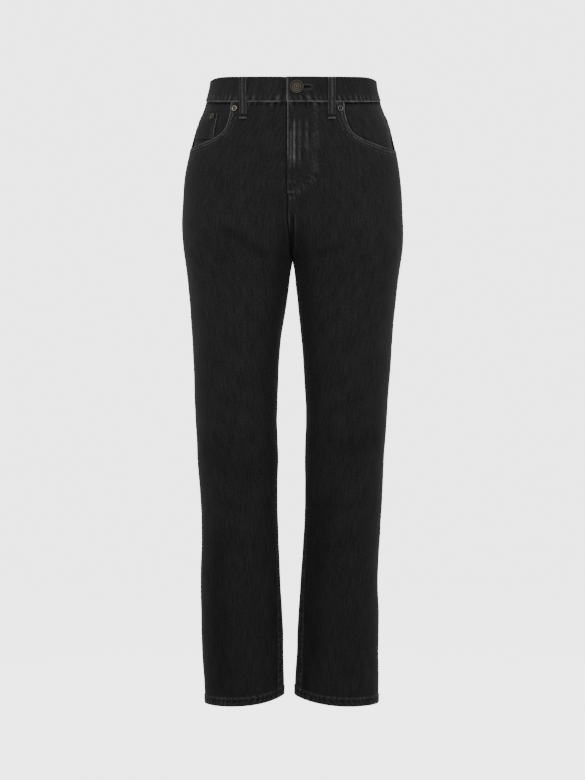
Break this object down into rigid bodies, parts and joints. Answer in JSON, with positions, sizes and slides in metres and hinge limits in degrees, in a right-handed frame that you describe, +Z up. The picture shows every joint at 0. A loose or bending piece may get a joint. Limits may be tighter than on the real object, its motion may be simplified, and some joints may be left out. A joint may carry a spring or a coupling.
{
  "type": "cropped straight jeans",
  "caption": "Cropped straight-leg jeans in near-black washed denim, shown filled out and hollow, open at the waist and hems.",
  "frame": {"origin": "middle of the waist opening, half way down the waistband at the side", "axes": "+Z up, the front faces -Y, the wearer's left is +X"},
  "size_m": [0.3309, 0.2428, 0.9511],
  "materials": {
    "denim_front": "washed twill, matt",
    "denim_back": "washed twill, matt",
    "denim_band": "washed twill, matt",
    "denim_pocket": "washed twill, matt",
    "denim_loop": "washed twill, matt",
    "button_metal": "antique, dark",
    "rivet_copper": "bright, worn",
    "rivet_dark": "gunmetal, worn",
    "rivet_brass": "aged"
  },
  "bodies": {
    "root": {"front_right": "denim_front", "front_left": "denim_front", "back_right": "denim_back", "back_left": "denim_back", "yoke_right": "denim_back", "yoke_left": "denim_back", "waistband": "denim_band", "pocket_facing_right": "denim_pocket", "pocket_facing_left": "denim_pocket", "coin_pocket": "denim_pocket", "back_pocket_right": "denim_pocket", "back_pocket_left": "denim_pocket", "belt_loop_front_right": "denim_loop", "belt_loop_front_left": "denim_loop", "belt_loop_back_right": "denim_loop", "belt_loop_back_left": "denim_loop", "belt_loop_centre_back": "denim_loop", "waist_button": "button_metal", "rivet_right": "rivet_copper", "rivet_left": "rivet_dark", "rivet_coin_pocket": "rivet_brass"}
  },
  "joints": []
}
